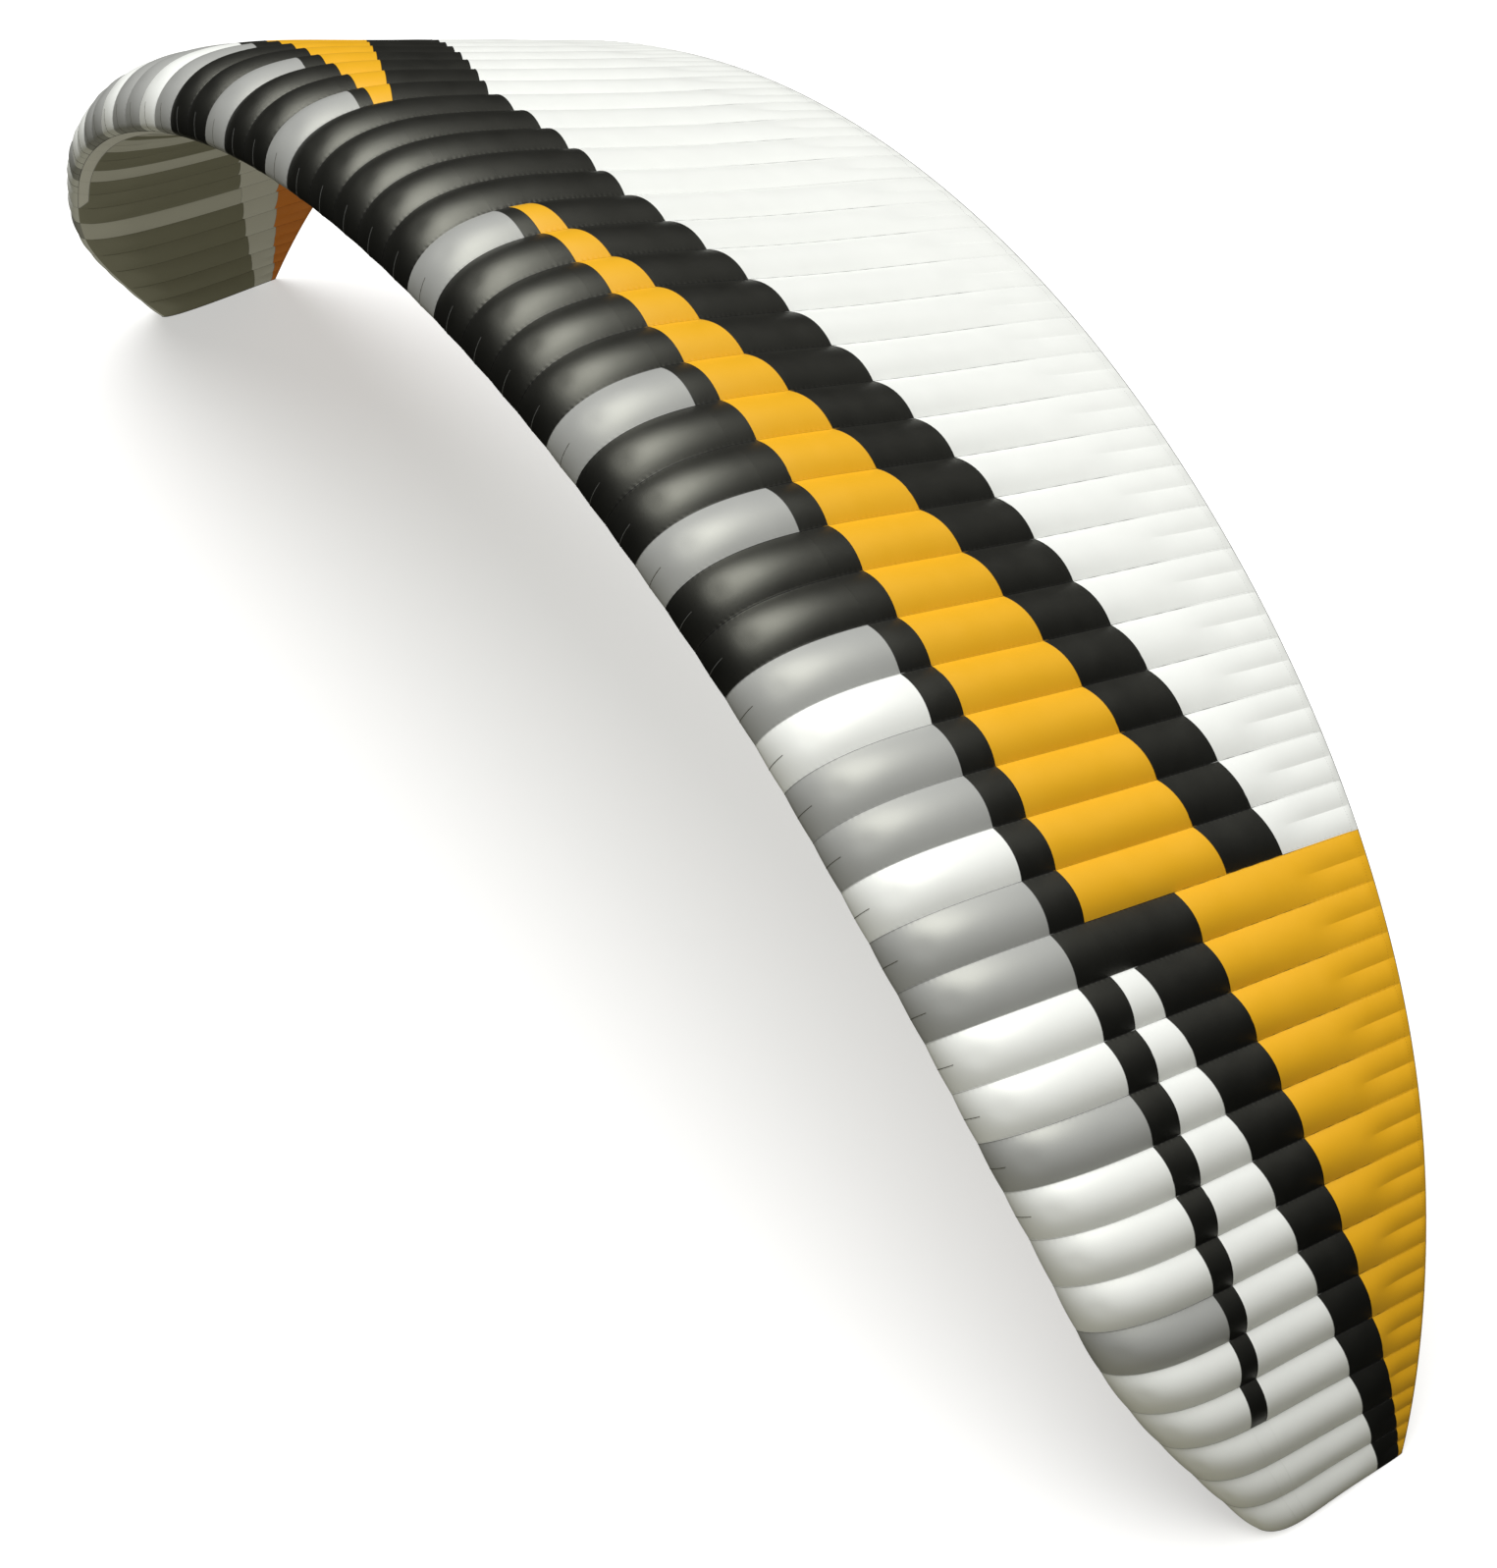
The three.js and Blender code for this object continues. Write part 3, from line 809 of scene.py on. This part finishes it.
# The flat panel that closes a wing tip, lying on the ground.
def makeTip(side, half, material):
    steps = tipPlan["edgeSteps"]
    cross = tipPlan["crossSteps"]
    share = np.linspace(0, 1, steps + 1)
    zero = np.zeros_like(share)
    upper = clothPoint(zero + 1, share, zero + clothThickness)
    lower = clothPoint(zero + 1, -share, zero + clothThickness)
    blend = np.linspace(0, 1, cross + 1)[None, :, None]
    grid = upper[:, None, :] * (1 - blend) + lower[:, None, :] * blend
    grid[..., 0] *= side
    top = grid.copy()
    top[..., 2] = clothThickness
    bottom = grid.copy()
    bottom[..., 2] = 0
    points = np.stack([top, bottom], 2).reshape(-1, 3)
    faces = sheetFaces(steps, cross)
    if side < 0:
        faces = faces[:, ::-1]
    name = f"{half}TipPanel"
    mesh = bpy.data.meshes.new(name)
    mesh.from_pydata(points.tolist(), [], faces.tolist())
    piece = bpy.data.objects.new(name, mesh)
    bpy.context.scene.collection.objects.link(piece)
    mapFlat(mesh, "black")
    mesh.materials.append(material)
    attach(piece, "root")
    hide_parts(f"{half}Tip_closingPanel")


# Cloth map straight from the floor plan, and one dye all over.
def mapFlat(mesh, dye):
    ends = np.zeros(len(mesh.loops), int)
    mesh.loops.foreach_get("vertex_index", ends)
    places = np.array([vertex.co[:2] for vertex in mesh.vertices])[ends]
    middle = np.full_like(places, 0.5)
    for layerName, values in (("clothMap", places), ("cellMap", middle)):
        layer = mesh.uv_layers.new(name=layerName)
        layer.uv.foreach_set("vector", values.astype(np.float32).ravel())
    dyes = mesh.color_attributes.new("dye", "FLOAT_COLOR", "CORNER")
    table = np.tile(dyeColour(dye), (len(ends), 1))
    dyes.data.foreach_set("color", table.astype(np.float32).ravel())


# A Geometry Nodes tree under construction.
class Growth:
    def __init__(self, name):
        self.tree = bpy.data.node_groups.new(name, "GeometryNodeTree")
        self.tree.interface.new_socket("Geometry", in_out="INPUT", socket_type="NodeSocketGeometry")
        self.tree.interface.new_socket("Geometry", in_out="OUTPUT", socket_type="NodeSocketGeometry")
        self.start = self.tree.nodes.new("NodeGroupInput")
        self.end = self.tree.nodes.new("NodeGroupOutput")
        self.keys = {}

    def size(self, name, value):
        made = self.tree.interface.new_socket(name, in_out="INPUT", socket_type="NodeSocketFloat")
        self.keys[name] = (made.identifier, value)
        return self.start.outputs[name]

    def node(self, kind, settings, inputs, output=0):
        made = self.tree.nodes.new(kind)
        for key, value in settings.items():
            setattr(made, key, value)
        for key, value in inputs.items():
            if isinstance(value, bpy.types.NodeSocket):
                self.tree.links.new(value, made.inputs[key])
            else:
                made.inputs[key].default_value = value
        return made.outputs[output]

    def finish(self, geometry, material):
        real = self.node("GeometryNodeRealizeInstances", {}, {"Geometry": geometry})
        done = self.node("GeometryNodeSetMaterial", {}, {"Geometry": real, "Material": material})
        self.tree.links.new(done, self.end.inputs[0])

    def apply(self, piece):
        modifier = piece.modifiers.new(self.tree.name, "NODES")
        modifier.node_group = self.tree
        for identifier, value in self.keys.values():
            modifier[identifier] = value
        evaluated = piece.evaluated_get(bpy.context.evaluated_depsgraph_get())
        mesh = bpy.data.meshes.new_from_object(evaluated)
        piece.modifiers.remove(modifier)
        piece.data = mesh
        mesh.polygons.foreach_set("use_smooth", np.ones(len(mesh.polygons), bool))


sewingPlan = {
    "ribRadius": 0.0014,
    "panelRadius": 0.0012,
    "hemRadius": 0.003,
    "bandRadius": 0.0018,
    "dartRadius": 0.0013,
    "ringSides": 6,
    "stitchPitch": 0.011,
    "stitchLength": 0.006,
    "stitchRadius": 0.0009,
    "seamSink": 0.0004,  # how far the cords lie in the cloth
    "panelSink": 0.0003,
    "hemSink": 0.002,
    "aboveTraces": (-0.113, 0.99),  # where a rib's seam runs on the upper cloth
    "belowTraces": (-0.99, -0.2),
    "hemStitchTraces": (0.991, -0.991),
    "seamDarker": 0.5,
    "ribDarker": 0.62,
    "dashDarker": 0.06,  # every other step of a rib's seam on the trailing panels
    "dashesEnd": 0.925,
    "tailDarker": 0.88,
    "hemDarker": 0.1,
    "stitchDarker": 0.6,
    "dartOnBlack": 0.35,  # share of grey in the darts of a black cell
    "dartOnPale": 0.3,  # share of the dark lower cloth's dye in all others
    "ribSteps": 90,
    "dartFrom": -0.112,
    "dartTo": 0.1,
    "dartSteps": 10,
}


# A round cord of thread or folded cloth that follows each line.
def growSeams(name, radius, material):
    growth = Growth(name)
    lines = growth.node("GeometryNodeMeshToCurve", {}, {"Mesh": growth.start.outputs[0]})
    ring = growth.node(
        "GeometryNodeCurvePrimitiveCircle",
        {"mode": "RADIUS"},
        {"Resolution": sewingPlan["ringSides"], "Radius": growth.size("Seam radius", radius)},
    )
    tube = growth.node(
        "GeometryNodeCurveToMesh", {}, {"Curve": lines, "Profile Curve": ring, "Fill Caps": True}
    )
    growth.finish(tube, material)
    return growth


# Single stitches laid end to end along each line.
def growStitches(name, material):
    growth = Growth(name)
    pitch = growth.size("Stitch pitch", sewingPlan["stitchPitch"])
    length = growth.size("Stitch length", sewingPlan["stitchLength"])
    radius = growth.size("Thread radius", sewingPlan["stitchRadius"])
    lines = growth.node("GeometryNodeMeshToCurve", {}, {"Mesh": growth.start.outputs[0]})
    spaced = growth.node(
        "GeometryNodeResampleCurve", {"mode": "LENGTH"}, {"Curve": lines, "Length": pitch}
    )
    tangent = growth.node("GeometryNodeInputTangent", {}, {})
    turn = growth.node("FunctionNodeAlignRotationToVector", {"axis": "Z"}, {"Vector": tangent})
    thread = growth.node(
        "GeometryNodeMeshIcoSphere", {}, {"Radius": 1.0, "Subdivisions": 1}
    )
    halfLength = growth.node("ShaderNodeMath", {"operation": "MULTIPLY"}, {0: length, 1: 0.5})
    size = growth.node("ShaderNodeCombineXYZ", {}, {"X": radius, "Y": radius, "Z": halfLength})
    placed = growth.node(
        "GeometryNodeInstanceOnPoints",
        {},
        {"Points": spaced, "Instance": thread, "Rotation": turn, "Scale": size},
    )
    growth.finish(placed, material)
    return growth


# Lines on the cloth as loose edges, each point with its own dye.
def drawLines(name, lines):
    points = []
    edges = []
    dyes = []
    for places, colours in lines:
        first = len(points)
        points.extend(places.tolist())
        dyes.extend(colours)
        edges.extend((first + i, first + i + 1) for i in range(len(places) - 1))
    mesh = bpy.data.meshes.new(name)
    mesh.from_pydata(points, edges, [])
    attribute = mesh.color_attributes.new("dye", "FLOAT_COLOR", "POINT")
    attribute.data.foreach_set("color", np.array(dyes, np.float32).ravel())
    piece = bpy.data.objects.new(name, mesh)
    bpy.context.scene.collection.objects.link(piece)
    return piece


def finishSewing(name, lines, growth):
    piece = drawLines(name, lines)
    growth.apply(piece)
    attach(piece, "root")


# The dye at a place on the cloth, by name.
def dyeAt(side, cell, along, trace):
    sector = next(name for name, cells in sectorCells.items() if cells[0] <= cell <= cells[1])
    for row in panelRows(side, sector):
        start = float(row[1](np.array(along)))
        end = float(row[2](np.array(along)))
        if start <= trace <= end and cell <= row[4][1]:
            return dyeName(side, cell, row[0])
    return "white"


def seamColour(side, cell, along, trace, share):
    colour = dyeColour(dyeAt(side, cell, along, trace)).copy()
    colour[:3] *= share
    return colour.tolist()


def lineOnCloth(side, cells, alongs, traces, q, lift, share=sewingPlan["seamDarker"]):
    widths = np.diff(ribPlaces)[np.array(cells) - 1] * halfSpan
    belly = bellyAt(widths, q, traces)
    points = clothPoint(alongs, traces, belly + clothThickness + halfGap + lift)
    points[:, 0] *= side
    shares = np.broadcast_to(share, len(cells))
    colours = [seamColour(side, *spot) for spot in zip(cells, alongs, traces, shares)]
    return points, colours


# Every rib's seam, from the band round the nose to the tail, above and below.
def ribLines(side, above):
    steps = sewingPlan["ribSteps"]
    plain = sewingPlan["ribDarker"]
    dashed = np.where(np.arange(steps) % 2 == 0, sewingPlan["dashDarker"], plain)
    reach = sewingPlan["aboveTraces"] if above else sewingPlan["belowTraces"]
    traces = np.linspace(*reach, steps)
    lines = []
    for rib in range(1, cellsPerHalf):
        cells = [rib + 1] * steps
        alongs = np.full(steps, ribPlaces[rib])
        sector = "Outer" if rib + 1 >= seamPlan["firstOuterCell"] else "Mid"
        tail = math.sqrt(upperSeam(side, sector, "rearEnd", ribPlaces[rib]))
        darker = np.where(traces > tail, dashed, plain)
        darker = np.where(traces > sewingPlan["dashesEnd"], sewingPlan["tailDarker"], darker)
        lift = -sewingPlan["seamSink"]
        lines.append(lineOnCloth(side, cells, alongs, traces, 0.0, lift, darker))
    return lines


def acrossLine(side, first, last, traceAt, lift, share=sewingPlan["seamDarker"]):
    columns = spanColumns((first, last), wingPlan["stepsPerCell"])
    alongs = columns[:, 0]
    cells = columns[:, 1].astype(int)
    traces = traceAt(alongs)
    return lineOnCloth(side, cells, alongs, traces, columns[:, 3], lift, share)


# The runs of cells over which two neighbouring rows differ in dye.
def dyedRuns(side, cells, rowA, rowB):
    runs = []
    for cell in range(cells[0], cells[1] + 1):
        if dyeName(side, cell, rowA) == dyeName(side, cell, rowB):
            continue
        if runs and runs[-1][1] == cell - 1:
            runs[-1][1] = cell
        else:
            runs.append([cell, cell])
    return runs


# Seams that join one row of panels to the next.
def panelLines(side):
    lines = []
    for sector, cells in sectorCells.items():
        rows = panelRows(side, sector)
        seams = [(rows[i][2], rows[i][0], rows[i + 1][0]) for i in range(4)]
        seams += [(rows[i][1], rows[i][0], rows[i + 1][0]) for i in (6, 7)]
        for traceAt, rowA, rowB in seams:
            for first, last in dyedRuns(side, cells, rowA, rowB):
                lines.append(acrossLine(side, first, last, traceAt, -sewingPlan["panelSink"]))
    return lines


# Lines all along the half at fixed traces.
def hemLines(side, traces, lift, share):
    def fixed(trace):
        return lambda along: trace + 0 * along

    return [acrossLine(side, 1, cellsPerHalf, fixed(trace), lift, share) for trace in traces]


def bandLines(side):
    last = seamPlan["lastOpenCell"]

    def front(along):
        return -math.sqrt(seamPlan["bandStart"]) + 0 * along

    def rear(along):
        return -np.sqrt(bandEndAt(along))

    return [acrossLine(side, 1, last, front, 0.0), acrossLine(side, 1, last, rear, 0.0)]


# Short darts over the nose, at the middle of each open cell.
def dartLines(side):
    steps = sewingPlan["dartSteps"]
    traces = np.linspace(sewingPlan["dartFrom"], sewingPlan["dartTo"], steps)
    lines = []
    for cell in range(1, seamPlan["lastOpenCell"]):
        middle = (ribPlaces[cell - 1] + ribPlaces[cell]) / 2
        alongs = np.full(steps, middle)
        points, _ = lineOnCloth(side, [cell] * steps, alongs, traces, 0.5, 0.0)
        if noseDye(cell, side) == "black":
            thread = dyeColour("grey") * sewingPlan["dartOnBlack"]
        else:
            thread = dyeColour("darkLower") * sewingPlan["dartOnPale"]
        lines.append((points, [thread.tolist()] * steps))
    return lines


threadPlan = {
    "fuzzScale": 420.0,
    "fuzzShade": 0.3,
    "fuzzRise": 0.0004,
    "fuzzRoughness": 0.1,
    "threadRoughness": 0.6,
    "foldedRoughness": 0.5,
}


# Thread or folded cloth in the dye of the place it is sewn to.
def makeThread(name, roughness):
    material = bpy.data.materials.new(name)
    material.use_nodes = True
    tree = material.node_tree
    shader = tree.nodes["Principled BSDF"]
    field = Field(tree)
    dye = field.node("ShaderNodeVertexColor", {"layer_name": "dye"}, {})
    body = field.node("ShaderNodeTexCoord", {}, {}, "Object")
    fuzz = noise(field, body, threadPlan["fuzzScale"], 2.0)
    shade = 1 + (fuzz - 0.5) * threadPlan["fuzzShade"]
    tinted = field.node("ShaderNodeVectorMath", {"operation": "SCALE"}, {0: dye, "Scale": shade})
    tree.links.new(tinted.socket, shader.inputs["Base Color"])
    height = fuzz * threadPlan["fuzzRise"]
    bump = field.node("ShaderNodeBump", {}, {"Height": height, "Distance": 1.0})
    tree.links.new(bump.socket, shader.inputs["Normal"])
    roughness = roughness + fuzz * threadPlan["fuzzRoughness"]
    tree.links.new(roughness.socket, shader.inputs["Roughness"])
    return material


def makeSewing():
    thread = makeThread("sewingThread", threadPlan["threadRoughness"])
    folded = makeThread("foldedSeam", threadPlan["foldedRoughness"])
    ribs = growSeams("ribSeams", sewingPlan["ribRadius"], folded)
    panels = growSeams("panelSeams", sewingPlan["panelRadius"], folded)
    hems = growSeams("trailingHem", sewingPlan["hemRadius"], folded)
    bands = growSeams("bandBinding", sewingPlan["bandRadius"], folded)
    darts = growSeams("noseDarts", sewingPlan["dartRadius"], folded)
    stitches = growStitches("stitches", thread)
    for side, half in ((1, "right"), (-1, "left")):
        finishSewing(f"{half}RibSeamsAbove", ribLines(side, True), ribs)
        finishSewing(f"{half}RibSeamsBelow", ribLines(side, False), ribs)
        finishSewing(f"{half}PanelSeams", panelLines(side), panels)
        edge = hemLines(side, (1.0,), -sewingPlan["hemSink"], sewingPlan["hemDarker"])
        finishSewing(f"{half}TrailingHem", edge, hems)
        finishSewing(f"{half}BandBinding", bandLines(side), bands)
        finishSewing(f"{half}NoseDarts", dartLines(side), darts)
        traces = sewingPlan["hemStitchTraces"]
        rows = hemLines(side, traces, 0.0, sewingPlan["stitchDarker"]) + bandLines(side)
        finishSewing(f"{half}Stitches", rows, stitches)
        print("sewing made:", half)


makeCamera()
makeStudio()
print("camera and studio made")
materials = {name: makeRipstop(look["name"], look) for name, look in clothLooks.items()}
makeSkins(materials)
makeTip(1, "right", materials["black_cloth"])
makeTip(-1, "left", materials["black_cloth"])
print("tips made")
makeSewing()
